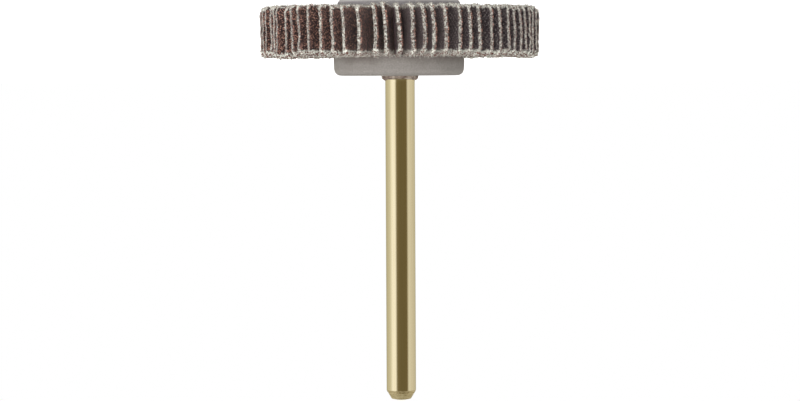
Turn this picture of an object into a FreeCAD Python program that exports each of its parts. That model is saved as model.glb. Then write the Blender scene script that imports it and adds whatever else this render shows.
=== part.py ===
# A mounted flap wheel: abrasive cloth flaps set round a cast resin core on a plain metal shank.
#
# It stands on the front face of its core, with the shank pointing up. The origin is the centre of
# that face and +Z runs along the shank. Lengths are in millimetres and angles in degrees.
import FreeCAD, Part
import math
import os

from FreeCAD import Vector

# Wheel and flaps
wheel_diameter = 30.0
flap_count = 72
flap_width = 5.0
flap_thickness = 0.42
flap_tilt = 3.0
root_depth = 1.04
root_wall = 0.10
first_flap_angle = -3.3
flaps_in_a_node = 2

# How far each tip leans ahead of its root, in degrees, clockwise seen from the shank's end. The row
# runs half way round the wheel, and the other half repeats it.
tip_leans = (
    1.0, 0.5, 1.0, 0.0, 1.5, -0.5, -3.0, -1.0, -2.0, -3.0, -2.5, -1.5,
    -1.0, -1.0, 0.5, 2.0, 1.0, 1.5, 2.0, 1.5, 0.5, 0.5, 1.5, 1.0,
    0.5, 1.5, 1.0, 1.5, 0.5, 0.0, -1.0, -1.5, -2.5, -2.0, -1.0, 0.0,
)

# Core
front_flange_height = 1.3
front_flange_inset = 0.35
front_flange_chamfer = 0.6
back_flange_height = 2.2
back_flange_corner = 0.8
flange_draft = 3.0
collar_height = 0.6
collar_wall = 0.41
collar_chamfer = 0.25

# Shank
shank_diameter = 3.175
shank_free_length = 35.05
tip_chamfer_length = 0.93
tip_chamfer_depth = 0.55
tip_crown = 0.15
front_cover = 0.8
hidden_end_chamfer = 0.25
knurl_count = 16
knurl_depth = 0.2
knurl_angle = 80.0
lock_groove_offset = 1.0
lock_groove_width = 1.2
lock_groove_depth = 0.35
relief_width = 0.6
relief_depth = 0.25

# Worked out from the sizes above
wheel_radius = wheel_diameter / 2
flap_pitch = 360.0 / flap_count
root_radius = flap_count * (flap_thickness + root_wall) / (2 * math.pi)
core_radius = root_radius + root_depth
front_flange_radius = core_radius - front_flange_inset
flap_bottom = front_flange_height
flap_top = flap_bottom + flap_width
back_face = flap_top + back_flange_height
collar_top = back_face + collar_height
shank_radius = shank_diameter / 2
collar_radius = shank_radius + collar_wall
shank_end = back_face + shank_free_length
tip_rim = shank_end - tip_crown
tip_rim_radius = shank_radius - tip_chamfer_depth


def unit(vector):
    """The vector at length one."""
    return vector / vector.Length


def rounded_outline(corners):
    """A closed wire through (radius, height, corner radius) triples in the XZ plane."""
    points = [Vector(radius, 0, height) for radius, height, _ in corners]
    edges = []
    leaving = []
    arriving = []
    for index, (point, corner) in enumerate(zip(points, corners)):
        rounding = corner[2]
        to_last = unit(points[index - 1] - point)
        to_next = unit(points[(index + 1) % len(points)] - point)
        if rounding == 0:
            arriving.append(point)
            leaving.append(point)
            continue
        half_angle = to_last.getAngle(to_next) / 2
        tangent_length = rounding / math.tan(half_angle)
        start = point + to_last * tangent_length
        end = point + to_next * tangent_length
        bisector = unit(to_last + to_next)
        middle = point + bisector * (rounding / math.sin(half_angle) - rounding)
        edges.append(Part.Arc(start, middle, end).toShape())
        arriving.append(start)
        leaving.append(end)
    for index, start in enumerate(leaving):
        end = arriving[(index + 1) % len(arriving)]
        edges.append(Part.LineSegment(start, end).toShape())
    return Part.Wire(Part.__sortEdges__(edges))


def turned(corners):
    """The solid that the outline sweeps round the Z axis."""
    return Part.Face(rounded_outline(corners)).revolve(Vector(0, 0, 0), Vector(0, 0, 1), 360)


def drafted_radius(radius, height):
    """A flange's radius once its side has drawn in over this height."""
    return radius - height * math.tan(math.radians(flange_draft))


def make_shank():
    """A turned pin: chamfered and crowned at the free end, knurled and grooved in the resin.

    The knurl runs out in a relief groove, which the core's collar fills.
    """
    lock_start = front_cover + lock_groove_offset
    lock_end = lock_start + lock_groove_width
    relief_start = collar_top - relief_width
    blank = turned([
        (0, front_cover, 0),
        (shank_radius - hidden_end_chamfer, front_cover, 0),
        (shank_radius, front_cover + hidden_end_chamfer, 0),
        (shank_radius, lock_start, 0),
        (shank_radius - lock_groove_depth, lock_start, 0),
        (shank_radius - lock_groove_depth, lock_end, 0),
        (shank_radius, lock_end, 0),
        (shank_radius, relief_start, 0),
        (shank_radius - relief_depth, relief_start, 0),
        (shank_radius - relief_depth, collar_top, 0),
        (shank_radius, collar_top, 0),
        (shank_radius, tip_rim - tip_chamfer_length, 0),
        (tip_rim_radius, tip_rim, 0),
        (0, tip_rim, 0),
    ])
    grooves = knurl_grooves(front_cover, relief_start + relief_width / 2)
    return blank.fuse(make_crown()).removeSplitter().cut(grooves)


def make_crown():
    """The shallow dome on the shank's free end."""
    dome_radius = (tip_rim_radius ** 2 + tip_crown ** 2) / (2 * tip_crown)
    half_turn = math.asin(tip_rim_radius / dome_radius) / 2
    drop = dome_radius * (1 - math.cos(half_turn))
    rim = Vector(tip_rim_radius, 0, tip_rim)
    middle = Vector(dome_radius * math.sin(half_turn), 0, shank_end - drop)
    top = Vector(0, 0, shank_end)
    foot = Vector(0, 0, tip_rim)
    arc = Part.Arc(rim, middle, top).toShape()
    sides = [Part.LineSegment(top, foot).toShape(), Part.LineSegment(foot, rim).toShape()]
    section = Part.Face(Part.Wire([arc] + sides))
    return section.revolve(Vector(0, 0, 0), Vector(0, 0, 1), 360)


def knurl_grooves(bottom, top):
    """V-shaped cutters along the shank's hidden end, evenly round it."""
    overshoot = knurl_depth
    half_mouth = (knurl_depth + overshoot) * math.tan(math.radians(knurl_angle / 2))
    triangle = Part.makePolygon([
        Vector(shank_radius - knurl_depth, 0, bottom),
        Vector(shank_radius + overshoot, half_mouth, bottom),
        Vector(shank_radius + overshoot, -half_mouth, bottom),
        Vector(shank_radius - knurl_depth, 0, bottom),
    ])
    cutter = Part.Face(triangle).extrude(Vector(0, 0, top - bottom))
    return [turned_copy(cutter, number * 360.0 / knurl_count) for number in range(knurl_count)]


def turned_copy(shape, angle):
    """A copy of the shape, turned round the Z axis."""
    copy = shape.copy()
    copy.rotate(Vector(0, 0, 0), Vector(0, 0, 1), angle)
    return copy


def bend_edges(offset, lean):
    """One long side of a flap seen from above, as edges from its root outwards.

    X is the radius through the root. The side runs straight inside the core, then bends evenly so
    that the flap's middle line meets the rim where the lean says, and goes on a little past it.
    """
    root = Vector(root_radius, offset, 0)
    mouth = Vector(core_radius, offset, 0)
    edges = [Part.LineSegment(root, mouth).toShape()]
    run = wheel_radius * math.cos(math.radians(lean)) - core_radius
    shift = wheel_radius * math.sin(math.radians(lean))
    if lean == 0:
        past_rim = Vector(wheel_radius + flap_thickness, offset, 0)
        return edges + [Part.LineSegment(mouth, past_rim).toShape()]
    bend_radius = (run ** 2 + shift ** 2) / (2 * shift)
    turn_at_rim = 2 * math.atan2(shift, run)
    turn_at_end = turn_at_rim + flap_thickness / bend_radius

    def on_bend(turn):
        reach = bend_radius - offset
        return Vector(core_radius + reach * math.sin(turn), bend_radius - reach * math.cos(turn), 0)

    edges.append(Part.Arc(mouth, on_bend(turn_at_end / 2), on_bend(turn_at_end)).toShape())
    return edges


def make_flap(angle, lean):
    """A strip of abrasive cloth, set radially by its root and trued off at the wheel's rim."""
    left = bend_edges(flap_thickness / 2, lean)
    right = bend_edges(-flap_thickness / 2, lean)
    root_edge = Part.LineSegment(left[0].Vertexes[0].Point, right[0].Vertexes[0].Point).toShape()
    tip_edge = Part.LineSegment(left[-1].Vertexes[-1].Point, right[-1].Vertexes[-1].Point).toShape()
    strip = Part.Face(Part.Wire(Part.__sortEdges__(left + [tip_edge] + right + [root_edge])))
    rim = Part.Face(Part.Wire(Part.makeCircle(wheel_radius)))
    trued = strip.common(rim).Faces[0]
    slant = flap_width * math.tan(math.radians(flap_tilt))
    trued.translate(Vector(0, slant / 2, flap_bottom))
    return turned_copy(trued.extrude(Vector(0, -slant, flap_width)), angle)


def make_flaps():
    """All the flaps, clockwise seen from the shank's end."""
    flaps = []
    for number in range(flap_count):
        lean = -tip_leans[number % len(tip_leans)]
        flaps.append(make_flap(first_flap_angle - number * flap_pitch, lean))
    return flaps


def make_core(shank, flaps):
    """The casting round the shank and the flap roots, with a flange either side and a collar."""
    front_edge = drafted_radius(front_flange_radius, front_flange_height - front_flange_chamfer)
    back_edge = drafted_radius(core_radius, back_flange_height)
    casting = turned([
        (0, 0, 0),
        (front_edge - front_flange_chamfer, 0, 0),
        (front_edge, front_flange_chamfer, 0),
        (front_flange_radius, flap_bottom, 0),
        (core_radius, flap_bottom, 0),
        (core_radius, flap_top, 0),
        (back_edge, back_face, back_flange_corner),
        (collar_radius, back_face, 0),
        (collar_radius, collar_top - collar_chamfer, 0),
        (collar_radius - collar_chamfer, collar_top, 0),
        (0, collar_top, 0),
    ])
    return casting.cut([shank] + flaps)


def save(name, shape):
    """Writes one node's STEP file."""
    shape.exportStep(os.path.join("parts", name + ".step"))


os.makedirs("parts", exist_ok=True)
shank = make_shank()
flaps = make_flaps()
save("shank", shank)
save("core", make_core(shank, flaps))
for first in range(0, flap_count, flaps_in_a_node):
    group = flaps[first:first + flaps_in_a_node]
    save(f"flap_pair_{first // flaps_in_a_node + 1:02d}", Part.makeCompound(group))
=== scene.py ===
"""The looks of a mounted flap wheel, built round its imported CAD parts. Lengths are in metres."""

import math

import bpy
import numpy as np
from mathutils import Matrix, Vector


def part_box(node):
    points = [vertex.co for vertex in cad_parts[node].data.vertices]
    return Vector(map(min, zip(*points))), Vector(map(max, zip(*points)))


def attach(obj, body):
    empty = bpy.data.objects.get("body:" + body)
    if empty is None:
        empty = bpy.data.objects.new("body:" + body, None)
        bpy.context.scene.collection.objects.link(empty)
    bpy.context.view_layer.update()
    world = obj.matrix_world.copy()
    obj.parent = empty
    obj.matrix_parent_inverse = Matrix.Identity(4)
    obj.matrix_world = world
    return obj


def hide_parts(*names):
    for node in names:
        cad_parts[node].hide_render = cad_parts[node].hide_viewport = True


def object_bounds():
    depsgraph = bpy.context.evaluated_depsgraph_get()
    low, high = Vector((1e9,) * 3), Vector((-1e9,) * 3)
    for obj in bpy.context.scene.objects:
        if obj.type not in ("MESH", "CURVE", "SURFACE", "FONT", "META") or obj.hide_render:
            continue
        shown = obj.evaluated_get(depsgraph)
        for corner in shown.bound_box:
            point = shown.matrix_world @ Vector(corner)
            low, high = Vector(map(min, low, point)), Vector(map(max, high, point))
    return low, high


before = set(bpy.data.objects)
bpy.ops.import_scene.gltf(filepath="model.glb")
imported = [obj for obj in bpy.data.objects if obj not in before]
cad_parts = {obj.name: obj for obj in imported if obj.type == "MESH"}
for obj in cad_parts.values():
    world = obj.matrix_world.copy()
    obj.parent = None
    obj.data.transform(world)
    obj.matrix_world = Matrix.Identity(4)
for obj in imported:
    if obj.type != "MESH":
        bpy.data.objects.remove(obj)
cad_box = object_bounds()

MM = 0.001

# The photograph's frame in pixels, and what was measured in it
PHOTO_WIDTH = 800
PHOTO_HEIGHT = 401
PIXELS_PER_MM = 9.27
EYE_LEVEL_ROW = 86.0
BACK_FACE_ROW = 75.6
AXIS_COLUMN = 400.5
SHANK_SLANT = math.radians(-0.26)
CAMERA_DISTANCE = 0.335
SENSOR_WIDTH = 36.0

# Sizes of the core, the shank and the flaps, as in the CAD
FRONT_FLANGE_RADIUS = 6.65 * MM
FRONT_FLANGE_CHAMFER = 0.6 * MM
BACK_FLANGE_HEIGHT = 2.2 * MM
BACK_FLANGE_CORNER = 0.8 * MM
FLANGE_DRAFT = math.radians(3)
COLLAR_HEIGHT = 0.6 * MM
COLLAR_RADIUS = 1.9975 * MM
COLLAR_CHAMFER = 0.25 * MM
TIP_CHAMFER_LENGTH = 0.93 * MM
TIP_CHAMFER_DEPTH = 0.55 * MM
TIP_CROWN = 0.15 * MM
FRONT_COVER = 0.8 * MM
FLAP_BOTTOM = 1.3 * MM
FLAP_WIDTH = 5.0 * MM

# What the core's casting adds to those sizes
CORE_SEGMENTS = 200
CORE_STEP = 0.16 * MM
FLANGE_SWELL = 0.08 * MM
OFF_CENTRE = 0.09 * MM
FACE_ROUNDING = 0.15 * MM
CHAMFER_ROUNDING = 0.2 * MM
SHARP_ROUNDING = 0.05 * MM
COLLAR_ROUNDING = 0.1 * MM
COLLAR_TAPER = 0.04 * MM
COLLAR_DISH = 0.02 * MM
FLANGE_START = 1.1 * COLLAR_RADIUS
PIT_PITCH = 0.35 * MM
PIT_DEPTH = 0.004 * MM
COLLAR_ROUGHNESS = 0.025 * MM
COLLAR_ROUGH_PITCH = 0.15 * MM
COLLAR_ROUGH_START = 1.7 * MM

# The height of the collar as a share of the CAD's: its mean, its sway and lumps, and its least
COLLAR_SHARE = 0.71
COLLAR_SWAY = 0.15
COLLAR_LUMPS = 0.06
COLLAR_BUMPS = 0.04
COLLAR_LEAST = 0.42

# What turning adds to the shank's sizes
SHANK_SEGMENTS = 128
SHANK_STEP = 0.045 * MM
SHOULDER_ROUNDING = 0.03 * MM
RIM_ROUNDING = 0.06 * MM
CROWN_ROUNDING = 0.3 * MM
PLAIN_RUN_START = 1.5 * MM
PLAIN_RUN_MARGIN = 0.1 * MM
PLAIN_RUN_STEPS = 40
MARKS_MARGIN = 0.02 * MM
MARKS_LEAST_RADIUS = 0.1 * MM
MARK_PITCH = 0.19 * MM
MARK_DEPTH = 0.008 * MM
FIRST_MARK_DEPTH = 0.04 * MM
FIRST_MARK_REACH = 0.2 * MM
BURR_DEPTH = 0.012 * MM
BURR_PITCH = 0.12 * MM
BEAD_DROP = 0.16 * MM
BEAD_SWELL = 0.04 * MM
BEAD_REACH = 0.15 * MM
BEAD_MARGIN = 0.4 * MM

# Tolerances: for the ends of a CAD flap, for a mesh's edges, and for its two surfaces as a share
END_SLACK = 0.1 * MM
TOUCH = 0.001 * MM
SURFACE_SHARE = 0.99

# A flap's mesh: columns run from its root to its tip, and rows across its width
COLUMNS = 34
ROWS = 46
CLOTH_EDGE_ROWS = 3
TIP_COLUMN_STEP = 0.4

# A flap's layers and surfaces. Past the core, the relief grows in over CLEAR_RUN.
CLEAR_RUN = 0.5 * MM
GRAIN_LAYER = 0.12 * MM
GRAIN_PITCH = 0.17 * MM
GRAIN_HEIGHT = 0.07 * MM
YARN_PITCH = 0.30 * MM
YARN_HEIGHT = 0.02 * MM
FRAY_REACH = 0.15 * MM
FRAY_PITCH = 0.22 * MM
FRAY_SWELL = 0.04 * MM
CORNER_SWELL = 0.035 * MM
CORNER_PITCH = 0.3 * MM
CORNER_SIDE_REACH = 0.3 * MM
CORNER_TIP_REACH = 0.9 * MM
GRAIN_SWELL_SHARE = 0.7

# A flap's cut edges: yarn ends, chipped grain and the wander of the cut
YARN_END_DEPTH = 0.11 * MM
SIDE_END_PITCH = 0.13 * MM
TIP_END_PITCH = 0.2 * MM
SIDE_ROUGHNESS = 0.14 * MM
FRONT_SIDE_EVENNESS = 0.8
TIP_ROUGHNESS = 0.045 * MM
CHIP_PITCH = 0.3 * MM
SIDE_CHIP = 0.16 * MM
SIDE_CHIP_REACH = 0.3 * MM
FRONT_SIDE_CHIP = 0.4
TIP_CHIP = 0.05 * MM
TIP_CHIP_REACH = 0.2 * MM
WANDER_REACH = 0.6 * MM
TIP_WANDER = 0.07 * MM
TIP_WANDER_PITCH = 0.9 * MM
SIDE_WANDER = 0.11 * MM
SIDE_WANDER_PITCH = 0.8 * MM

# A flap's wear, and how far its tip bows, twists, curls at the back corner, shifts and ripples
BOW = 0.17 * MM
TWIST = 0.12 * MM
CURL = 0.27 * MM
CURL_START = 0.72
SHIFT = 0.12 * MM
FRONT_CORNER = 0.45 * MM
BACK_CORNER = 0.5 * MM
RIPPLE = 0.05 * MM
RIPPLE_PITCH = 1.6 * MM

# How far the front and back sides of some flaps sit towards the shank's end, in millimetres, by
# the flap's number
SIDE_SHIFTS = {
    2: (0.0, 0.05), 4: (0.0, 0.34), 5: (0.0, 0.12), 6: (0.0, 0.18), 7: (0.0, 0.50), 9: (0.0, 0.10),
    17: (-0.20, 0.0), 30: (-0.16, 0.04), 31: (-0.10, 0.0), 32: (0.05, 0.08), 33: (-0.04, 0.06),
    34: (0.20, 0.10), 35: (0.14, 0.10), 36: (0.22, 0.10), 37: (0.16, 0.10), 38: (0.08, 0.10),
    39: (0.0, 0.05),
}

# Loose fibres at the cut edges
TIP_FIBRES = 110
SIDE_FIBRES = 185
LOOSE_REACH = 0.12 * MM
FIBRE_DEPTH = 0.05 * MM
FIBRE_SIDES = 3
FIBRE_RADIUS = 0.022 * MM
FIBRE_BEND = 0.6
TIP_FIBRE_LENGTH = 0.08 * MM
SIDE_FIBRE_LENGTH = 0.17 * MM
FIBRE_SPREAD_ALONG = 0.65
FIBRE_SPREAD_UP = 0.5
TIP_FIBRE_SPREAD_ACROSS = 0.4
SIDE_FIBRE_SPREAD_ACROSS = 1.5

# Seeds of the random draws
SURFACE_SEED = 11
EDGE_SEED = 12
GRAIN_SEED = 13
FLAP_SEED = 300
FIBRE_SEED = 500

# Steps between the noise of one flap or fibre and that of the next
FLAP_NOISE_STEP = 37.3
FLAP_COLOUR_STEP = 3.1
FIBRE_COLOUR_STEP = 1.7

# Looks. A scale of colours is a row of (place, colour) from 0 to 1 along a noise, and a colour here is
# in the 0 to 255 steps of a picture.
# The cotton at the cut edges: pale fibres, with painted shade for the gaps between them at the dark end
# of each scale
TIP_COTTON_AND_GAP_SHADE = (
    (0.41, (50, 37, 36)), (0.46, (107, 95, 88)), (0.51, (172, 170, 160)), (0.57, (220, 221, 210)),
)
LOOSE_COTTON_AND_GAP_SHADE = (
    (0.38, (88, 64, 57)), (0.43, (172, 168, 157)), (0.50, (214, 215, 204)), (0.60, (228, 229, 219)),
)
COTTON_BACK = (
    (0.36, (34, 28, 32)), (0.50, (50, 44, 47)), (0.58, (82, 75, 75)), (0.68, (146, 138, 132)),
)
RED_DUST = ((0.35, (66, 42, 38)), (0.65, (128, 86, 75)))
BROWN_GRAIN = ((0.2, (32, 23, 25)), (0.5, (36, 26, 27)), (0.64, (52, 37, 35)), (0.75, (176, 132, 115)))
CHIPPED_GRAIN = (
    (0.2, (33, 24, 25)), (0.50, (40, 29, 28)), (0.63, (64, 45, 41)), (0.78, (170, 124, 108)),
)
FUZZ = (190, 170, 168)
PLAIN_RESIN = ((0.3, (126, 121, 116)), (0.5, (137, 132, 127)), (0.7, (148, 143, 138)))
# Painted shade on the resin just under the flaps
PAINTED_SHADE_RESIN = ((0.3, (80, 69, 63)), (0.7, (98, 87, 81)))
# Painted shade and a painted warm reflection of the brass, on the collar
COLLAR_PAINTED_SHADE_AND_REFLECTION = ((0.35, (98, 80, 72)), (0.5, (132, 118, 107)), (0.65, (168, 156, 143)))
# Painted light on the front flange, with a painted highlight on its chamfer
FRONT_FLANGE_PAINTED_LIGHT = ((0.3, (120, 116, 117)), (0.7, (137, 133, 134)))
CHAMFER_PAINTED_HIGHLIGHT = ((0.3, (158, 153, 153)), (0.7, (172, 167, 167)))
# Painted shade on the resin between the flaps, in the slots
SLOT_PAINTED_SHADE = (112, 92, 95)

# The start and end of each blend between two looks: in millimetres from a cut edge, for the cloth and
# the grain, or along a noise, for the dust
LOOSE_BLEND = (0.25, 0.5)
SIDE_DUST_BLEND = (0.04, 0.20)
DUST_BLEND = (0.61, 0.66)
TORN_TIP_BLEND = (0.30, 0.38)
TORN_SIDE_BLEND = (0.72, 0.90)
CHIPPED_TIP_BLEND = (0.56, 0.80)
CHIPPED_SIDE_BLEND = (1.0, 1.6)
BARE_SIDE_BLEND = (0.67, 0.79)

# How much likelier red dust is on a cut side at the wheel's back, and how much less so at its front
SIDE_DUST = 0.16
LESS_FRONT_DUST = 0.11

# The two brasses: name, roughness, dull colour, bright colour, and how fine their marks are along
# each axis
BRASSES = (
    ("drawn_brass", 0.12, (242, 227, 185), (249, 236, 199), (9000.0, 9000.0, 120.0)),
    ("turned_brass", 0.55, (208, 190, 144), (250, 236, 194), (3000.0, 3000.0, 9000.0)),
)

# What the shank mirrors: the studio's walls, by their direction in degrees from straight in front
# of the wheel, positive to the photograph's left. Each stop is (degrees, colour).
WALLS = (
    (-180, (0.42, 0.40, 0.30, 1)),
    (-120, (0.60, 0.58, 0.52, 1)),
    (-66, (0.72, 0.71, 0.68, 1)),
    (-59, (0.62, 0.60, 0.54, 1)),
    (-49, (0.15, 0.12, 0.06, 1)),
    (-5, (0.145, 0.12, 0.062, 1)),
    (16, (0.16, 0.13, 0.07, 1)),
    (30, (0.22, 0.185, 0.11, 1)),
    (43, (1.0, 1.0, 1.02, 1)),
    (70, (1.0, 1.0, 1.02, 1)),
    (92, (0.66, 0.65, 0.58, 1)),
    (140, (0.50, 0.48, 0.38, 1)),
    (180, (0.42, 0.40, 0.30, 1)),
)
CEILING = (0.50, 0.49, 0.44, 1)

# The table, and the soft light of the room
FLOOR_REACH = 6.0
FLOOR_GAP = 0.05 * MM
FLOOR_SHADE = 0.25
TABLE_GLOW = 0.8
SKY_LIGHT = 0.30

# Each lamp: name, degrees from straight in front (positive to the photograph's left), distance along
# the table, height above it, width and height of its panel, and how much of full daylight level it
# gives at LAMP_DISTANCE. All of them point at AIM_HEIGHT over the origin.
LAMP_DISTANCE = 0.8
AIM_HEIGHT = 6 * MM
LAMPS = (
    ("front_lamp", 1.5, 0.8, 0.03, 0.16, 0.05, 0.37),
    ("left_lamp", 42, 0.8, 0.17, 0.5, 0.30, 0.18),
    ("right_lamp", -42, 0.8, 0.17, 0.5, 0.30, 0.05),
    ("low_lamp", 20, 0.8, 0.018, 0.6, 0.03, 0.20),
    ("back_left_lamp", 125, 0.8, 0.25, 0.5, 0.4, 0.36),
    ("back_right_lamp", -125, 0.8, 0.25, 0.5, 0.4, 0.30),
    ("high_lamp", 20, 0.4, 0.80, 0.5, 0.5, 0.46),
    ("back_lamp", 180, 0.8, 0.17, 0.5, 0.30, 0.40),
)


class Noise:
    """Random heights over a plane, the same on each run."""

    SIZE = 256
    SMALLEST_GRAIN = 0.55
    GRAIN_REACH = 0.85

    def __init__(self, seed):
        self.table = np.random.default_rng(seed).random((self.SIZE, self.SIZE))

    def cell(self, x, y):
        """The value from 0 to 1 of each whole-number cell."""
        return self.table[x.astype(int) % self.SIZE, y.astype(int) % self.SIZE]

    def smooth(self, x, y):
        """Values from -1 to 1 that change over about one unit."""
        left, low = np.floor(x), np.floor(y)
        across, up = x - left, y - low
        across = across * across * (3 - 2 * across)
        up = up * up * (3 - 2 * up)
        bottom = self.cell(left, low) * (1 - across) + self.cell(left + 1, low) * across
        top = self.cell(left, low + 1) * (1 - across) + self.cell(left + 1, low + 1) * across
        return (bottom * (1 - up) + top * up) * 2 - 1

    def grains(self, x, y):
        """Heights from 0 to 1 of sharp grains, about one to each unit square."""
        highest = np.zeros_like(x)
        left, low = np.floor(x), np.floor(y)
        for step_x in (-1, 0, 1):
            for step_y in (-1, 0, 1):
                cell_x, cell_y = left + step_x, low + step_y
                off_x = x - cell_x - self.cell(cell_x + 31, cell_y)
                off_y = y - cell_y - self.cell(cell_x, cell_y + 57)
                turn = self.cell(cell_x + 91, cell_y + 17) * math.pi
                wide = np.abs(off_x * np.cos(turn) + off_y * np.sin(turn))
                deep = np.abs(off_y * np.cos(turn) - off_x * np.sin(turn))
                spread = 1 - self.SMALLEST_GRAIN
                size = self.SMALLEST_GRAIN + spread * self.cell(cell_x + 7, cell_y + 5)
                fall = np.maximum(wide, deep) / (self.GRAIN_REACH * size)
                highest = np.maximum(highest, size * (1 - fall))
        return highest


surface_noise = Noise(SURFACE_SEED)
edge_noise = Noise(EDGE_SEED)
grain_noise = Noise(GRAIN_SEED)


def separate_solids(mesh):
    """The points of each separate solid in a mesh, without repeats."""
    points = np.empty(len(mesh.vertices) * 3)
    mesh.vertices.foreach_get("co", points)
    points, owner = np.unique(points.reshape(-1, 3).round(7), axis=0, return_inverse=True)
    ends = np.empty(len(mesh.edges) * 2, dtype=int)
    mesh.edges.foreach_get("vertices", ends)
    start, end = owner.ravel()[ends].reshape(-1, 2).T
    label = np.arange(len(points))
    while True:
        before = label.copy()
        lowest = np.minimum(label[start], label[end])
        np.minimum.at(label, start, lowest)
        np.minimum.at(label, end, lowest)
        if (label == before).all():
            return [points[label == solid] for solid in np.unique(label)]


class Flap:
    """A flap's place and form, measured on its CAD solid.

    Its own coordinates are the distance along it from its root, the height up its width, and the
    offset from its middle surface, which is positive on the cloth side.
    """

    def __init__(self, points, node, number):
        self.node = node
        self.number = number
        radius = np.hypot(points[:, 0], points[:, 1])
        root = points[radius < radius.min() + END_SLACK]
        tip = points[radius > radius.max() - END_SLACK]
        self.bottom = points[:, 2].min()
        self.width = np.ptp(points[:, 2])
        middle = root.mean(axis=0)
        self.angle = math.atan2(middle[1], middle[0])
        self.root_radius = math.hypot(middle[0], middle[1])
        tangent = np.array((-math.sin(self.angle), math.cos(self.angle)))
        lower = root[root[:, 2] < middle[2]][:, :2] @ tangent
        upper = root[root[:, 2] > middle[2]][:, :2] @ tangent
        self.thickness = np.ptp(lower)
        self.slant = lower.mean() - upper.mean()
        tip_middle = tip.mean(axis=0)
        lean = math.atan2(tip_middle[1], tip_middle[0]) - self.angle
        lean = math.remainder(lean, math.tau)
        wheel_radius = (cad_box[1][0] - cad_box[0][0]) / 2
        core_radius = (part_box("core")[1][0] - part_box("core")[0][0]) / 2
        run = wheel_radius * math.cos(lean) - core_radius
        shift = wheel_radius * math.sin(lean)
        if abs(shift) < TOUCH:
            shift = TOUCH
        self.bend_radius = (run * run + shift * shift) / (2 * shift)
        self.straight = core_radius - self.root_radius
        self.length = self.straight + self.bend_radius * 2 * math.atan2(shift, run)

    def place(self, along, height, offset):
        """World points for arrays of the flap's own coordinates."""
        turn = np.maximum(along - self.straight, 0) / self.bend_radius
        reach = self.bend_radius - offset
        x = self.root_radius + np.minimum(along, self.straight) + reach * np.sin(turn)
        y = self.bend_radius - reach * np.cos(turn)
        y = y + self.slant * (0.5 - height / self.width)
        cosine, sine = math.cos(self.angle), math.sin(self.angle)
        z = self.bottom + height
        return np.stack((x * cosine - y * sine, x * sine + y * cosine, z), axis=-1)


def read_flaps():
    """Every flap of the frame, node by node."""
    flaps = []
    for node in sorted(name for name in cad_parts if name.startswith("flap_pair")):
        for points in separate_solids(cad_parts[node].data):
            flaps.append(Flap(points, node, len(flaps)))
    return flaps


def near(distance, reach):
    """One at an edge, falling smoothly to nothing past the reach."""
    return np.exp(-((distance / reach) ** 2))


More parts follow.
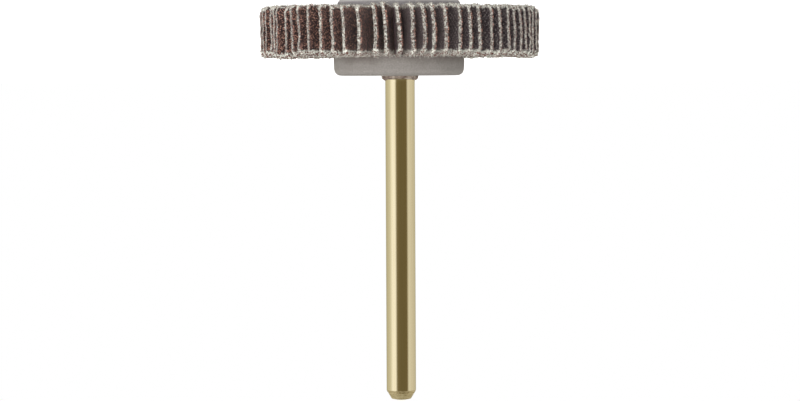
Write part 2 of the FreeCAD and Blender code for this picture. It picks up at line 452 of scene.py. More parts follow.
class Shell:
    """The closed mesh of one flap, first as a plain strip in the flap's own coordinates."""

    def __init__(self, flap):
        self.flap = flap
        half = flap.thickness / 2
        cloth_offsets = np.linspace(half, GRAIN_LAYER - half, CLOTH_EDGE_ROWS + 1)
        inner = cloth_offsets[1:]
        rows = np.linspace(0, flap.width, ROWS + 1)
        self.loop_height = np.concatenate(
            (rows, np.full(len(inner), flap.width), rows[::-1], np.zeros(len(inner)))
        )
        self.loop_offset = np.concatenate(
            (np.full(len(rows), half), inner, np.full(len(rows), -half), inner[::-1])
        )
        step = np.linspace(0, 1, COLUMNS + 1)
        step = TIP_COLUMN_STEP * step + (1 - TIP_COLUMN_STEP) * (1 - (1 - step) ** 2)
        self.columns = step * flap.length
        self.build_points(rows, inner)
        self.build_faces(len(inner))

    def build_points(self, rows, inner):
        """The side points column by column, then the points inside the tip's face."""
        along, height = np.meshgrid(self.columns, self.loop_height, indexing="ij")
        offset = np.broadcast_to(self.loop_offset, along.shape)
        tip_height, tip_offset = np.meshgrid(rows[1:-1], inner, indexing="ij")
        tip_along = np.full(tip_height.size, self.flap.length)
        self.along = np.concatenate((along.ravel(), tip_along))
        self.height = np.concatenate((height.ravel(), tip_height.ravel()))
        self.offset = np.concatenate((offset.ravel(), tip_offset.ravel()))

    def build_faces(self, inner_count):
        """Quads round the sides and over the tip, and one face at the root."""
        ring = len(self.loop_height)
        column, place = np.meshgrid(np.arange(COLUMNS), np.arange(ring), indexing="ij")
        onward = (place + 1) % ring
        sides = np.stack(
            (column * ring + place, (column + 1) * ring + place,
             (column + 1) * ring + onward, column * ring + onward), axis=-1
        ).reshape(-1, 4)
        last = COLUMNS * ring
        grid = np.empty((ROWS + 1, inner_count + 2), dtype=int)
        grid[:, 0] = last + np.arange(ROWS + 1)
        grid[:, -1] = last + ROWS + inner_count + 1 + np.arange(ROWS + 1)[::-1]
        grid[-1, 1:-1] = last + ROWS + 1 + np.arange(inner_count)
        grid[0, 1:-1] = last + ring - 1 - np.arange(inner_count)
        grid[1:-1, 1:-1] = (COLUMNS + 1) * ring + np.arange((ROWS - 1) * inner_count).reshape(
            ROWS - 1, inner_count
        )
        tip = np.stack((grid[:-1, :-1], grid[:-1, 1:], grid[1:, 1:], grid[1:, :-1]), axis=-1)
        self.quads = np.concatenate((sides, tip.reshape(-1, 4)))
        self.root_face = list(range(ring))[::-1]
        first_grain = ROWS + inner_count
        side_grain = (place >= first_grain) & (place <= first_grain + ROWS + 1)
        tip_grain = np.zeros((ROWS, inner_count + 1), dtype=bool)
        tip_grain[:, -1] = True
        self.quad_is_grain = np.concatenate((side_grain.ravel(), tip_grain.ravel()))

    def edge_distances(self):
        """How far each point is from the tip's edge and from the nearer side edge."""
        from_side = np.minimum(self.height, self.flap.width - self.height)
        return self.flap.length - self.along, from_side

    def roughen(self):
        """Turns the strip into abrasive cloth, and returns its points in the flap's coordinates."""
        flap = self.flap
        half = flap.thickness / 2
        key = flap.number * FLAP_NOISE_STEP
        along, height, offset = self.along.copy(), self.height.copy(), self.offset.copy()
        from_tip, from_side = self.edge_distances()
        on_back = self.offset > half * SURFACE_SHARE
        on_grain = self.offset < -half * SURFACE_SHARE
        on_side = from_side < TOUCH
        on_tip = from_tip < TOUCH
        upward = np.where(self.height > flap.width / 2, 1.0, -1.0)
        clear = np.clip((self.along - flap.straight) / CLEAR_RUN, 0, 1)

        # Here and below, a number added to a place in the noise keeps its uses apart
        def wander(pitch, shift):
            return surface_noise.smooth(self.along / pitch + key + shift, self.height / pitch + shift)

        # The whole strip bows, twists and ripples a little towards its tip
        rng = np.random.default_rng(FLAP_SEED + flap.number)
        reach = (self.along / flap.length) ** 2
        part = self.height / flap.width
        offset -= reach * BOW * rng.uniform(0.1, 1.0) * (4 * part * (1 - part) - 0.5)
        offset += reach * TWIST * rng.uniform(-1.0, 1.0) * (part - 0.5)
        offset += reach * RIPPLE * wander(RIPPLE_PITCH, 5)
        curl = CURL * rng.uniform(0.2, 1.0) * max(0.0, -math.cos(flap.angle)) ** 0.5
        offset += reach * curl * np.clip((part - CURL_START) / (1 - CURL_START), 0, 1) ** 2

        # The cut edges wander
        edge_place = self.height / TIP_WANDER_PITCH + key
        tip_wander = edge_noise.smooth(edge_place, np.full_like(edge_place, key))
        tip_wander += 0.6 * edge_noise.smooth(edge_place * 2.7, np.full_like(edge_place, key + 9))
        along += TIP_WANDER * tip_wander * near(from_tip, WANDER_REACH)
        side_wander = edge_noise.smooth(self.along / SIDE_WANDER_PITCH + key, 40 * upward + 50)
        height += upward * SIDE_WANDER * side_wander * near(from_side, WANDER_REACH) * clear

        # Yarn ends stand proud of the cut edges, and the grain is chipped back from them
        across = self.offset / YARN_END_DEPTH
        side_place = self.along / SIDE_END_PITCH + key
        side_ends = 0.6 + edge_noise.smooth(side_place, across + 20 * upward + 30)
        tip_ends = edge_noise.smooth(self.height / TIP_END_PITCH + key, across / 2 + 80)
        side_ends *= np.where(upward > 0, 1.0, FRONT_SIDE_EVENNESS)
        height += np.where(on_side & ~on_grain, upward * SIDE_ROUGHNESS * side_ends, 0) * clear
        along += np.where(on_tip & ~on_grain, TIP_ROUGHNESS * tip_ends, 0)
        chip = 0.5 + 0.5 * wander(CHIP_PITCH, 17)
        chip *= np.where(upward > 0, 1.0, FRONT_SIDE_CHIP)
        side_chip = upward * SIDE_CHIP * chip * near(from_side, SIDE_CHIP_REACH)
        height -= np.where(on_grain, side_chip, 0) * clear
        along -= np.where(on_grain, TIP_CHIP * chip * near(from_tip, TIP_CHIP_REACH), 0)

        # The corners are worn round, more at the back, and each strip's tip sits a little high or low
        rounding = np.where(self.height > flap.width / 2, BACK_CORNER, FRONT_CORNER)
        deep = np.clip(1 - from_tip / rounding, 0, 1)
        wide = np.clip(1 - from_side / rounding, 0, 1)
        worn = rounding * np.maximum(np.hypot(deep, wide) - 1, 0) * rng.uniform(0.5, 1.2)
        along -= worn
        height -= upward * worn
        front_shift, back_shift = SIDE_SHIFTS.get(flap.number, (0, 0))
        height += reach * SHIFT * rng.uniform(-1.0, 1.0)
        height += reach * (front_shift + (back_shift - front_shift) * part) * MM

        # The weave on the back, which swells where it frays
        weave = np.sin(math.pi * self.along / YARN_PITCH)
        weave = weave * np.sin(math.pi * self.height / YARN_PITCH)
        edge = near(np.minimum(from_tip, from_side), FRAY_REACH)
        swell = FRAY_SWELL * edge * (0.6 + 0.8 * wander(FRAY_PITCH, 60))
        corner = near(from_side, CORNER_SIDE_REACH) * near(from_tip, CORNER_TIP_REACH)
        swell += CORNER_SWELL * corner * (0.7 + 0.9 * wander(CORNER_PITCH, 70))
        offset += np.where(on_back, YARN_HEIGHT * weave + swell, 0) * clear
        offset -= np.where(on_grain, GRAIN_SWELL_SHARE * swell, 0) * clear

        # The grain
        grain = grain_noise.grains(self.along / GRAIN_PITCH + key, self.height / GRAIN_PITCH + key)
        offset -= np.where(on_grain, GRAIN_HEIGHT * grain, 0) * clear
        return np.stack((along, height, offset), axis=-1)


def normalised(vectors):
    """Each vector of an array at length one."""
    return vectors / np.linalg.norm(vectors, axis=-1, keepdims=True)


def make_fibres(shell, own):
    """Bent loose fibres along a flap's cut edges, as points in the flap's own coordinates."""
    flap = shell.flap
    rng = np.random.default_rng(FIBRE_SEED + flap.number)
    from_tip, from_side = shell.edge_distances()
    on_cloth = shell.offset > -SURFACE_SHARE * flap.thickness / 2
    on_cloth &= shell.along > flap.straight
    tip_points = np.flatnonzero((from_tip < TOUCH) & on_cloth)
    side_points = np.flatnonzero((from_side < TOUCH) & on_cloth)
    tip_roots = rng.choice(tip_points, TIP_FIBRES)
    roots = np.concatenate((tip_roots, rng.choice(side_points, 2 * SIDE_FIBRES)))
    count = len(roots)
    at_tip = np.arange(count) < TIP_FIBRES
    upward = np.where(shell.height[roots] > flap.width / 2, 1.0, -1.0)
    outward = np.stack((at_tip * 1.0, np.where(at_tip, 0.0, upward), np.zeros(count)), axis=-1)
    start = own[roots] - FIBRE_DEPTH * outward + FIBRE_DEPTH * rng.uniform(-1, 1, (count, 3))
    across = np.where(at_tip, TIP_FIBRE_SPREAD_ACROSS, SIDE_FIBRE_SPREAD_ACROSS)
    along, up = np.full(count, FIBRE_SPREAD_ALONG), np.full(count, FIBRE_SPREAD_UP)
    spread = np.stack((along, up, across), axis=-1)
    direction = normalised(outward + spread * rng.normal(size=(count, 3)))
    side = normalised(np.cross(direction, rng.normal(size=(count, 3))))
    other = np.cross(direction, side)
    length = np.where(at_tip, TIP_FIBRE_LENGTH, SIDE_FIBRE_LENGTH) * rng.lognormal(0, 0.35, count)
    curl = length * rng.normal(0, 0.5, count)
    radius = FIBRE_RADIUS * rng.uniform(0.6, 1.6, count)
    turn = math.tau * np.arange(FIBRE_SIDES)[None, :, None] / FIBRE_SIDES
    spoke = side[:, None] * np.cos(turn) + other[:, None] * np.sin(turn)
    spoke = spoke * radius[:, None, None]

    def middle(part):
        return start + direction * length[:, None] * part + side * curl[:, None] * part ** 2

    root = middle(0.0)[:, None] + spoke
    bend = middle(FIBRE_BEND)[:, None] + 0.8 * spoke
    return np.concatenate((root, bend, middle(1.0)[:, None]), axis=1)


def fibre_faces():
    """The faces of one fibre, numbered from its first point: a root ring, a bend ring and a tip."""
    faces = [tuple(range(FIBRE_SIDES))[::-1]]
    tip = 2 * FIBRE_SIDES
    for corner in range(FIBRE_SIDES):
        onward = (corner + 1) % FIBRE_SIDES
        faces.append((corner, onward, FIBRE_SIDES + onward, FIBRE_SIDES + corner))
        faces.append((FIBRE_SIDES + corner, FIBRE_SIDES + onward, tip))
    return faces


def add_piece(mesh, node):
    """Puts a mesh in the scene in place of a CAD node."""
    piece = bpy.data.objects.new(mesh.name, mesh)
    bpy.context.scene.collection.objects.link(piece)
    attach(piece, "root")
    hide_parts(node)


def write_attribute(mesh, name, columns):
    """Keeps three numbers for each point, which the materials read."""
    values = np.stack(columns, axis=-1).astype(np.float32)
    mesh.attributes.new(name, "FLOAT_VECTOR", "POINT").data.foreach_set("vector", values.ravel())


def make_flap(flap, materials):
    """One flap as a closed mesh, with its loose fibres as closed tubes."""
    shell = Shell(flap)
    own = shell.roughen()
    from_tip, from_side = shell.edge_distances()
    fibres = make_fibres(shell, own)
    shell_count = len(own)
    fibre_points = fibres.reshape(-1, 3)
    own = np.concatenate((own, fibre_points))
    fibre_place = np.zeros(len(fibre_points))
    fibre_key = np.repeat(np.arange(len(fibres)) * FIBRE_COLOUR_STEP, fibres.shape[1])
    key = np.concatenate((np.zeros(shell_count), fibre_key))
    key = key + flap.number * FLAP_COLOUR_STEP + own[:, 2] / MM
    faces = shell.quads.tolist() + [shell.root_face]
    is_grain = shell.quad_is_grain.tolist() + [False]
    template = fibre_faces()
    for first in range(shell_count, len(own), fibres.shape[1]):
        faces.extend(tuple(first + corner for corner in face) for face in template)
    is_grain = np.array(is_grain + [False] * (len(faces) - len(is_grain)))
    mesh = bpy.data.meshes.new(f"flap_{flap.number + 1:02d}")
    mesh.from_pydata(flap.place(own[:, 0], own[:, 1], own[:, 2]).tolist(), [], faces)
    for material in materials:
        mesh.materials.append(material)
    mesh.polygons.foreach_set("material_index", is_grain.astype(np.int32))
    mesh.polygons.foreach_set("use_smooth", ~is_grain)
    write_attribute(mesh, "strip", (own[:, 0] / MM, own[:, 1] / MM, key))
    write_attribute(mesh, "edge", (
        np.concatenate((from_tip, fibre_place)) / MM,
        np.concatenate((from_side, fibre_place + LOOSE_REACH)) / MM,
        own[:, 2] / MM,
    ))
    mesh.update()
    add_piece(mesh, flap.node)


def rounded(corners, step):
    """Points along a line through (radius, height, rounding) corners, at most a step apart."""
    points = [np.array(corners[0][:2])]
    for before, corner, after in zip(corners, corners[1:], corners[2:]):
        here = np.array(corner[:2])
        if corner[2] == 0:
            points.append(here)
            continue
        start = here + normalised(np.array(before[:2]) - here) * corner[2]
        end = here + normalised(np.array(after[:2]) - here) * corner[2]
        for part in np.linspace(0, 1, 9):
            points.append(start * (1 - part) ** 2 + here * 2 * part * (1 - part) + end * part ** 2)
    points.append(np.array(corners[-1][:2]))
    fine = [points[0]]
    for start, end in zip(points, points[1:]):
        pieces = max(1, math.ceil(np.linalg.norm(end - start) / step))
        fine.extend(start + (end - start) * number / pieces for number in range(1, pieces + 1))
    return np.array(fine)


def lathe(name, profile, segments, relief):
    """A closed mesh turned from a profile that starts and ends on the Z axis.

    The relief takes arrays of the angle, the radius and the height, and returns them changed.
    """
    turn, place = np.meshgrid(
        math.tau * np.arange(segments) / segments, np.arange(1, len(profile) - 1), indexing="ij"
    )
    radius, height = relief(turn, profile[place, 0], profile[place, 1])
    rings = np.stack((radius * np.cos(turn), radius * np.sin(turn), height), axis=-1).reshape(-1, 3)
    poles = np.array(((0, 0, profile[0, 1]), (0, 0, height[:, -1].mean())))
    count = len(profile) - 2
    column, row = np.meshgrid(np.arange(segments), np.arange(count - 1), indexing="ij")
    onward = (column + 1) % segments
    quads = np.stack(
        (column * count + row, onward * count + row,
         onward * count + row + 1, column * count + row + 1), axis=-1
    ).reshape(-1, 4).tolist()
    bottom, top = len(rings), len(rings) + 1
    for here in range(segments):
        after = (here + 1) % segments
        quads.append((after * count, here * count, bottom))
        quads.append((here * count + count - 1, after * count + count - 1, top))
    mesh = bpy.data.meshes.new(name)
    mesh.from_pydata(np.concatenate((rings, poles)).tolist(), [], quads)
    mesh.polygons.foreach_set("use_smooth", [True] * len(mesh.polygons))
    mesh.update()
    return mesh


def make_core(material):
    """The casting, with its drafted flanges and the rough collar where the resin meets the shank."""
    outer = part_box("core")[1][0]
    collar_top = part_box("core")[1][2]
    back_face = collar_top - COLLAR_HEIGHT
    draft = math.tan(FLANGE_DRAFT)
    front_edge = FRONT_FLANGE_RADIUS - (FLAP_BOTTOM - FRONT_FLANGE_CHAMFER) * draft
    back_edge = outer - BACK_FLANGE_HEIGHT * draft
    profile = rounded([
        (0, 0, 0),
        (front_edge - FRONT_FLANGE_CHAMFER, 0, FACE_ROUNDING),
        (front_edge, FRONT_FLANGE_CHAMFER, CHAMFER_ROUNDING),
        (FRONT_FLANGE_RADIUS, FLAP_BOTTOM, SHARP_ROUNDING),
        (outer, FLAP_BOTTOM, 0),
        (outer, back_face - BACK_FLANGE_HEIGHT, 0),
        (outer + FLANGE_SWELL, back_face - BACK_FLANGE_HEIGHT, 0),
        (back_edge + FLANGE_SWELL, back_face, BACK_FLANGE_CORNER),
        (COLLAR_RADIUS, back_face, SHARP_ROUNDING),
        (COLLAR_RADIUS - COLLAR_TAPER, collar_top - COLLAR_CHAMFER, COLLAR_ROUNDING),
        (COLLAR_RADIUS - 1.2 * COLLAR_CHAMFER, collar_top, COLLAR_ROUNDING),
        (0, collar_top - COLLAR_DISH, 0),
    ], CORE_STEP)

    def relief(turn, radius, height):
        on_flange = radius > FLANGE_START
        around = turn * outer / PIT_PITCH
        down = (height - radius) / PIT_PITCH
        pits = surface_noise.smooth(around, down) + 0.7 * grain_noise.smooth(around * 2.1, down * 2.1)
        on_collar = np.clip((height - back_face) / (collar_top - back_face), 0, 1)
        lumps = edge_noise.smooth(turn * 3.2, np.full_like(turn, 7)) * COLLAR_LUMPS
        lumps += edge_noise.smooth(turn * 9.5, np.full_like(turn, 9)) * COLLAR_BUMPS
        tall = np.clip(COLLAR_SHARE + COLLAR_SWAY * np.cos(2 * turn) + lumps, COLLAR_LEAST, 1)
        height = np.where(height > back_face, back_face + (height - back_face) * tall, height)
        rough = COLLAR_ROUGHNESS * grain_noise.smooth(turn * 11, height / COLLAR_ROUGH_PITCH)
        rough = rough * on_collar * (radius > COLLAR_ROUGH_START)
        aside = OFF_CENTRE * np.cos(turn) * on_flange
        return radius + aside + PIT_DEPTH * on_flange * pits + rough, height

    mesh = lathe("resin_core", profile, CORE_SEGMENTS, relief)
    mesh.materials.append(material)
    add_piece(mesh, "core")


def make_shank(materials):
    """The drawn rod, with the marks of the turning tool on its chamfered end."""
    radius, _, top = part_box("shank")[1]
    rim = top - TIP_CROWN
    chamfer_start = rim - TIP_CHAMFER_LENGTH
    plain_run_end = chamfer_start - PLAIN_RUN_MARGIN
    end_radius = radius - TIP_CHAMFER_DEPTH
    profile = rounded([
        (0, FRONT_COVER, 0),
        (radius, FRONT_COVER, 0),
        (radius, plain_run_end, 0),
        (radius, chamfer_start, SHOULDER_ROUNDING),
        (end_radius, rim, RIM_ROUNDING),
        (end_radius / 2, top - TIP_CROWN / 4, CROWN_ROUNDING),
        (0, top, 0),
    ], SHANK_STEP)
    # The plain run needs few rings
    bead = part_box("core")[1][2] - BEAD_DROP
    plain_run = (profile[:, 1] > PLAIN_RUN_START) & (profile[:, 1] < plain_run_end)
    plain_run &= np.abs(profile[:, 1] - bead) > BEAD_MARGIN
    profile = profile[~plain_run | (np.arange(len(profile)) % PLAIN_RUN_STEPS == 0)]

    def relief(turn, radius_here, height):
        on_end = (height > chamfer_start + MARKS_MARGIN) & (radius_here > MARKS_LEAST_RADIUS)
        first_mark = near(height - chamfer_start - FIRST_MARK_REACH, FIRST_MARK_REACH)
        marks = np.sin(height / MARK_PITCH * math.tau) * (MARK_DEPTH + FIRST_MARK_DEPTH * first_mark)
        burr = BURR_DEPTH * grain_noise.smooth(turn * 12, height / BURR_PITCH)
        ring = BEAD_SWELL * near(height - bead, BEAD_REACH)
        return radius_here + ring + np.where(on_end, marks + burr, 0), height

    mesh = lathe("brass_shank", profile, SHANK_SEGMENTS, relief)
    centres = np.empty(len(mesh.polygons) * 3)
    mesh.polygons.foreach_get("center", centres)
    is_end = centres.reshape(-1, 3)[:, 2] > chamfer_start
    for material in materials:
        mesh.materials.append(material)
    mesh.polygons.foreach_set("material_index", is_end.astype(np.int32))
    add_piece(mesh, "shank")


def linear(red, green, blue):
    """A colour given in the 0 to 255 steps of a picture, for a shader."""
    steps = (red / 255, green / 255, blue / 255)
    return tuple(c / 12.92 if c <= 0.04045 else ((c + 0.055) / 1.055) ** 2.4 for c in steps) + (1.0,)


def new_material(name):
    """A material with its node tree and its main shader."""
    material = bpy.data.materials.new(name)
    material.use_nodes = True
    tree = material.node_tree
    return material, tree, tree.nodes["Principled BSDF"]


def add(tree, kind, inputs=None, **settings):
    """A node with its settings. An input is a value, or an output of another node."""
    node = tree.nodes.new(kind)
    for name, value in settings.items():
        setattr(node, name, value)
    for name, value in (inputs or {}).items():
        if isinstance(value, bpy.types.NodeSocket):
            tree.links.new(value, node.inputs[name])
        else:
            node.inputs[name].default_value = value
    return node


def math_node(tree, operation, first, second=0.0):
    """The result of one sum."""
    return add(tree, "ShaderNodeMath", {0: first, 1: second}, operation=operation).outputs[0]


def weighted(tree, *terms):
    """The sum of outputs, each times its weight."""
    total = math_node(tree, "MULTIPLY", *terms[0])
    for output, weight in terms[1:]:
        total = math_node(tree, "ADD", total, math_node(tree, "MULTIPLY", output, weight))
    return total


def fade(tree, value, start, end):
    """One below the start, falling to nothing at the end."""
    return add(
        tree, "ShaderNodeMapRange",
        {"Value": value, "From Min": start, "From Max": end, "To Min": 1.0, "To Max": 0.0},
    ).outputs["Result"]


def mixed(tree, factor, first, second):
    """A blend of two colours."""
    node = add(tree, "ShaderNodeMix", data_type="RGBA")
    for name, value in (("Factor", factor), ("A", first), ("B", second)):
        socket = next(s for s in node.inputs if s.name == name and s.enabled)
        if isinstance(value, bpy.types.NodeSocket):
            tree.links.new(value, socket)
        else:
            socket.default_value = value
    return next(s for s in node.outputs if s.enabled)


def ramp(tree, factor, stops):
    """A colour ramp through (place, colour) stops."""
    node = add(tree, "ShaderNodeValToRGB", {"Fac": factor})
    node.color_ramp.elements[0].position = stops[0][0]
    node.color_ramp.elements[0].color = stops[0][1]
    node.color_ramp.elements[1].position = stops[-1][0]
    node.color_ramp.elements[1].color = stops[-1][1]
    for place, colour in stops[1:-1]:
        node.color_ramp.elements.new(place).color = colour
    return node.outputs["Color"]


def tinted(tree, factor, stops):
    """A colour ramp whose colours are in the 0 to 255 steps of a picture."""
    return ramp(tree, factor, [(place, linear(*colour)) for place, colour in stops])


def bump(tree, shader, height, distance, strength):
    """Fine relief on a shader, from a height."""
    inputs = {"Height": height, "Distance": distance, "Strength": strength}
    node = add(tree, "ShaderNodeBump", inputs)
    tree.links.new(node.outputs["Normal"], shader.inputs["Normal"])


def attribute(tree, name):
    """A point attribute as a vector."""
    return add(tree, "ShaderNodeAttribute", attribute_name=name).outputs["Vector"]


def noise(tree, vector, scale, detail=2.0):
    """Soft noise over a vector."""
    inputs = {"Vector": vector, "Scale": scale, "Detail": detail, "Roughness": 0.6}
    return add(tree, "ShaderNodeTexNoise", inputs).outputs["Fac"]


def parts(tree, vector):
    """A vector's X, Y and Z."""
    return add(tree, "ShaderNodeSeparateXYZ", {0: vector}).outputs


def add_sheen(shader, weight):
    """The pale bloom of short fuzz, seen at a low angle."""
    shader.inputs["Sheen Weight"].default_value = weight
    shader.inputs["Sheen Roughness"].default_value = 0.5
    shader.inputs["Sheen Tint"].default_value = linear(*FUZZ)


def cloth_colour(tree, strip, fine, from_side):
    """Pale cotton fibres with painted shade in the gaps between them, and some red dust, as a cut edge
    shows.
    """
    tufts = noise(tree, strip, scale=4.5, detail=3.0)
    shade = weighted(tree, (fine, 0.6), (tufts, 0.4))
    # Painted shade: the dark ends of these scales stand for the gaps between the fibres
    worn = tinted(tree, shade, TIP_COTTON_AND_GAP_SHADE)
    loose = tinted(tree, shade, LOOSE_COTTON_AND_GAP_SHADE)
    cotton = mixed(tree, fade(tree, from_side, *LOOSE_BLEND), worn, loose)
    dust = tinted(tree, fine, RED_DUST)
    in_front = fade(tree, parts(tree, strip)["Y"], 0.0, FLAP_WIDTH / MM)
    less = math_node(tree, "MULTIPLY", in_front, LESS_FRONT_DUST)
    side_dust = math_node(tree, "SUBTRACT", SIDE_DUST, less)
    side_dust = math_node(tree, "MULTIPLY", fade(tree, from_side, *SIDE_DUST_BLEND), side_dust)
    dusty = math_node(tree, "ADD", noise(tree, strip, scale=5.2, detail=1.0), side_dust)
    return mixed(tree, fade(tree, dusty, *DUST_BLEND), dust, cotton)


def grain_material():
    """Brown aluminium oxide grains in resin, with cloth showing where they are chipped away."""
    material, tree, shader = new_material("abrasive_grain")
    strip = attribute(tree, "strip")
    axes, edge = parts(tree, strip), parts(tree, attribute(tree, "edge"))
    cells = add(tree, "ShaderNodeTexVoronoi", {"Vector": strip, "Scale": 11.0})
    cell_value = add(tree, "ShaderNodeSeparateColor", {0: cells.outputs["Color"]}).outputs["Red"]
    fine = noise(tree, strip, scale=10.0)
    tufts = noise(tree, strip, scale=4.0, detail=3.0)
    shade = weighted(tree, (cell_value, 0.65), (fine, 0.35))
    brown = tinted(tree, shade, BROWN_GRAIN)
    chipped = tinted(tree, shade, CHIPPED_GRAIN)
    at_tip = fade(tree, weighted(tree, (edge["X"], 1.0), (tufts, 0.9)), *CHIPPED_TIP_BLEND)
    by_side = fade(tree, weighted(tree, (edge["Y"], 1.0), (tufts, 1.5)), *CHIPPED_SIDE_BLEND)
    colour = mixed(tree, math_node(tree, "MAXIMUM", at_tip, by_side), brown, chipped)
    from_side = weighted(tree, (edge["Y"], 1.0), (tufts, 1.5), (axes["Y"], -0.08))
    at_side = fade(tree, from_side, *BARE_SIDE_BLEND)
    colour = mixed(tree, at_side, colour, cloth_colour(tree, strip, fine, edge["Y"]))
    tree.links.new(colour, shader.inputs["Base Color"])
    shader.inputs["Roughness"].default_value = 0.55
    shader.inputs["Specular IOR Level"].default_value = 0.35
    add_sheen(shader, 0.29)
    relief = weighted(tree, (cells.outputs["Distance"], 0.6), (fine, 0.6))
    bump(tree, shader, relief, distance=0.06 * MM, strength=0.8)
    return material


def cloth_material():
    """Cotton backing: dark with size on its back, pale and loose where it was cut."""
    material, tree, shader = new_material("cotton_backing")
    strip = attribute(tree, "strip")
    axes, edge = parts(tree, strip), parts(tree, attribute(tree, "edge"))
    waves = [
        math_node(tree, "SINE", math_node(tree, "MULTIPLY", axes[name], math.pi * MM / YARN_PITCH))
        for name in ("X", "Y")
    ]
    weave = math_node(tree, "MULTIPLY", waves[0], waves[1])
    fine = noise(tree, strip, scale=8.0)
    tufts = noise(tree, strip, scale=4.0, detail=3.0)
    fuzz = noise(tree, strip, scale=11.0, detail=1.0)
    height = weighted(tree, (weave, 0.05), (fuzz, 0.75), (tufts, 0.25))
    back = tinted(tree, height, COTTON_BACK)
    from_tip = weighted(tree, (edge["X"], 1.0), (tufts, 0.25), (fine, 0.35))
    at_tip = fade(tree, from_tip, *TORN_TIP_BLEND)
    from_side = weighted(tree, (edge["Y"], 1.0), (tufts, 1.3), (axes["Y"], -0.06))
    at_side = fade(tree, from_side, *TORN_SIDE_BLEND)
    torn = math_node(tree, "MAXIMUM", at_tip, at_side)
    colour = mixed(tree, torn, back, cloth_colour(tree, strip, fine, edge["Y"]))
    tree.links.new(colour, shader.inputs["Base Color"])
    shader.inputs["Roughness"].default_value = 0.85
    shader.inputs["Specular IOR Level"].default_value = 0.2
    add_sheen(shader, 0.27)
    bump(tree, shader, height, distance=0.08 * MM, strength=0.8)
    return material


def resin_material():
    """Filled casting resin: matt grey and rough round the shank, with painted shade under the flaps and
    in the slots, painted light on the front flange and its chamfer, and painted shade and a painted
    brass reflection on the collar.
    """
    material, tree, shader = new_material("cast_resin")
    place = add(tree, "ShaderNodeTexCoord").outputs["Object"]
    level = math_node(tree, "MULTIPLY", parts(tree, place)["Z"], 1 / MM)
    speckle = noise(tree, place, scale=6000.0)
    cloud = noise(tree, place, scale=260.0)
    mottle = noise(tree, place, scale=1800.0)
    shade = weighted(tree, (speckle, 0.8), (cloud, 0.2))
    back_face = (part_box("core")[1][2] - COLLAR_HEIGHT) / MM
    flaps_end = back_face - BACK_FLANGE_HEIGHT / MM
    flaps_start = FLAP_BOTTOM / MM
    chamfer = FRONT_FLANGE_CHAMFER / MM
    # Painted shade: the resin darkens just under the flaps
    near_flaps = fade(tree, weighted(tree, (level, 1.0), (cloud, 1.2)), flaps_end + 0.3, flaps_end + 1.6)
    plain, painted_shade = tinted(tree, shade, PLAIN_RESIN), tinted(tree, shade, PAINTED_SHADE_RESIN)
    colour = mixed(tree, near_flaps, plain, painted_shade)
    # Painted shade in the slots between the flaps
    below_flange = fade(tree, level, flaps_end, flaps_end + 0.02)
    above_front = fade(tree, level, flaps_start, flaps_start - 0.02)
    in_slots = math_node(tree, "MULTIPLY", below_flange, above_front)
    colour = mixed(tree, in_slots, colour, linear(*SLOT_PAINTED_SHADE))
    # Painted light: the front flange gets its own lit tone, with a painted highlight on its chamfer
    on_front = fade(tree, level, flaps_start - 0.02, flaps_start)
    side, edge = tinted(tree, shade, FRONT_FLANGE_PAINTED_LIGHT), tinted(tree, shade, CHAMFER_PAINTED_HIGHLIGHT)
    pale = mixed(tree, fade(tree, level, chamfer - 0.1, chamfer + 0.05), side, edge)
    colour = mixed(tree, on_front, colour, pale)
    # Painted shade and a painted warm reflection of the brass on the collar
    below_collar = fade(tree, level, back_face, back_face + 0.08)
    colour = mixed(tree, below_collar, tinted(tree, mottle, COLLAR_PAINTED_SHADE_AND_REFLECTION), colour)
    tree.links.new(colour, shader.inputs["Base Color"])
    shader.inputs["Roughness"].default_value = 0.6
    shader.inputs["Specular IOR Level"].default_value = 0.35
    bump(tree, shader, speckle, distance=0.02 * MM, strength=0.6)
    return material


def brass_material(name, roughness, dull, bright, scratch_scale):
    """Brass-coloured metal with faint marks, between a dull and a bright colour."""
    material, tree, shader = new_material(name)
    place = add(tree, "ShaderNodeTexCoord").outputs["Object"]
    stretched = add(tree, "ShaderNodeMapping", {"Vector": place, "Scale": scratch_scale}).outputs[0]
    marks = noise(tree, stretched, scale=1.0)
    colour = tinted(tree, marks, ((0.3, dull), (0.7, bright)))
    tree.links.new(colour, shader.inputs["Base Color"])
    shader.inputs["Metallic"].default_value = 1.0
    shader.inputs["Roughness"].default_value = roughness
    bump(tree, shader, marks, distance=0.003 * MM, strength=0.35)
    return material


def wall_colour(tree, direction):
    """The studio in a direction from the wheel: its walls, under a plain ceiling."""
    axes = parts(tree, direction)
    ahead = math_node(tree, "MULTIPLY", axes["Y"], -1.0)
    turn = math_node(tree, "ARCTAN2", axes["X"], ahead)
    turn = math_node(tree, "ADD", math_node(tree, "DIVIDE", turn, math.tau), 0.5)
    walls = ramp(tree, turn, [((degrees + 180) / 360, colour) for degrees, colour in WALLS])
    return mixed(tree, fade(tree, axes["Z"], 0.35, 0.75), CEILING, walls)


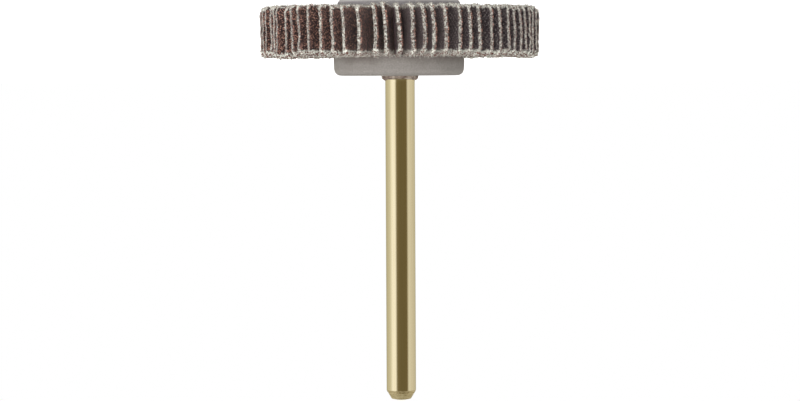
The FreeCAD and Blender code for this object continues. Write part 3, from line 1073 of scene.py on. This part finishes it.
def make_floor():
    """A pale, softly glowing table that keeps the wheel's shadow and mirrors as the walls do."""
    mesh = bpy.data.meshes.new("floor")
    corners = [(x * FLOOR_REACH, y * FLOOR_REACH, 0) for x, y in ((-1, -1), (1, -1), (1, 1), (-1, 1))]
    mesh.from_pydata(corners, [], [(0, 1, 2, 3)])
    material, tree, shader = new_material("white_floor")
    path = add(tree, "ShaderNodeLightPath").outputs
    shader.inputs["Base Color"].default_value = (0.8, 0.8, 0.8, 1)
    shader.inputs["Roughness"].default_value = 0.9
    shader.inputs["Emission Color"].default_value = (1, 1, 1, 1)
    place = add(tree, "ShaderNodeTexCoord").outputs["Object"]
    away = add(tree, "ShaderNodeVectorMath", {0: place}, operation="LENGTH").outputs["Value"]
    dim = math_node(tree, "MULTIPLY", fade(tree, away, 0.05, 0.3), FLOOR_SHADE)
    white = math_node(tree, "SUBTRACT", 1.0, dim)
    shown = math_node(tree, "MAXIMUM", path["Is Camera Ray"], path["Is Transmission Ray"])
    glow = math_node(tree, "MULTIPLY", shown, white)
    soft = math_node(tree, "MULTIPLY", path["Is Diffuse Ray"], TABLE_GLOW)
    glow = math_node(tree, "ADD", glow, soft)
    tree.links.new(glow, shader.inputs["Emission Strength"])
    mirrored = add(tree, "ShaderNodeEmission", {"Color": wall_colour(tree, place)}).outputs[0]
    surface = add(
        tree, "ShaderNodeMixShader",
        {0: path["Is Glossy Ray"], 1: shader.outputs[0], 2: mirrored},
    ).outputs[0]
    tree.links.new(surface, tree.nodes["Material Output"].inputs["Surface"])
    mesh.materials.append(material)
    floor = bpy.data.objects.new("floor", mesh)
    floor.location.z = -FLOOR_GAP
    bpy.context.scene.collection.objects.link(floor)


def make_world():
    """White behind the wheel, soft light all round it, and walls for the metal to mirror."""
    world = bpy.data.worlds.new("studio")
    world.use_nodes = True
    tree = world.node_tree
    tree.nodes.clear()
    walls = wall_colour(tree, add(tree, "ShaderNodeTexCoord").outputs["Generated"])
    path = add(tree, "ShaderNodeLightPath").outputs
    shown = math_node(tree, "MAXIMUM", path["Is Camera Ray"], path["Is Transmission Ray"])
    light = mixed(tree, path["Is Glossy Ray"], (SKY_LIGHT, SKY_LIGHT, SKY_LIGHT, 1), walls)
    light = mixed(tree, shown, light, (1, 1, 1, 1))
    background = add(tree, "ShaderNodeBackground", {"Color": light})
    output = add(tree, "ShaderNodeOutputWorld")
    tree.links.new(background.outputs[0], output.inputs["Surface"])
    bpy.context.scene.world = world


def make_lamps():
    """Soft panels round and over the wheel. They are hidden from mirror rays, which see the walls."""
    for name, degrees, distance, height, width, tall, level in LAMPS:
        data = bpy.data.lights.new(name, "AREA")
        data.shape = "RECTANGLE"
        data.size = width
        data.size_y = tall
        data.energy = level * math.pi ** 2 * LAMP_DISTANCE ** 2
        turn = math.radians(degrees)
        place = np.array((distance * math.sin(turn), -distance * math.cos(turn), height))
        away = normalised(place - np.array((0, 0, AIM_HEIGHT)))
        side = normalised(np.cross((0, 0, 1), away))
        up = np.cross(away, side)
        lamp = bpy.data.objects.new(name, data)
        lamp.matrix_world = Matrix([
            (side[0], up[0], away[0], place[0]),
            (side[1], up[1], away[1], place[1]),
            (side[2], up[2], away[2], place[2]),
            (0, 0, 0, 1),
        ])
        lamp.visible_glossy = False
        lamp.visible_camera = False
        bpy.context.scene.collection.objects.link(lamp)


def make_camera():
    """The photograph's view. It is upside down, because the wheel stands on its head here."""
    back_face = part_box("core")[1][2] - COLLAR_HEIGHT
    eye_height = back_face + (EYE_LEVEL_ROW - BACK_FACE_ROW) / PIXELS_PER_MM * MM
    focal_pixels = PIXELS_PER_MM * CAMERA_DISTANCE / MM
    pitch = math.atan((PHOTO_HEIGHT / 2 - EYE_LEVEL_ROW) / focal_pixels)
    aside = (AXIS_COLUMN - PHOTO_WIDTH / 2) / PIXELS_PER_MM * MM
    cosine, sine = math.cos(pitch), math.sin(pitch)
    aim = Matrix([
        (-1, 0, 0, aside),
        (0, sine, -cosine, -CAMERA_DISTANCE),
        (0, -cosine, -sine, eye_height),
        (0, 0, 0, 1),
    ])
    data = bpy.data.cameras.new("camera")
    data.sensor_width = SENSOR_WIDTH
    data.lens = focal_pixels / PHOTO_WIDTH * SENSOR_WIDTH
    data.clip_start = 0.01
    camera = bpy.data.objects.new("camera", data)
    camera.matrix_world = aim @ Matrix.Rotation(SHANK_SLANT, 4, "Z")
    bpy.context.scene.collection.objects.link(camera)
    bpy.context.scene.camera = camera


make_camera()
make_world()
make_floor()
make_lamps()
make_shank([brass_material(*brass) for brass in BRASSES])
make_core(resin_material())
flap_materials = [cloth_material(), grain_material()]
for flap in read_flaps():
    make_flap(flap, flap_materials)

bpy.context.scene.view_settings.view_transform = "Standard"
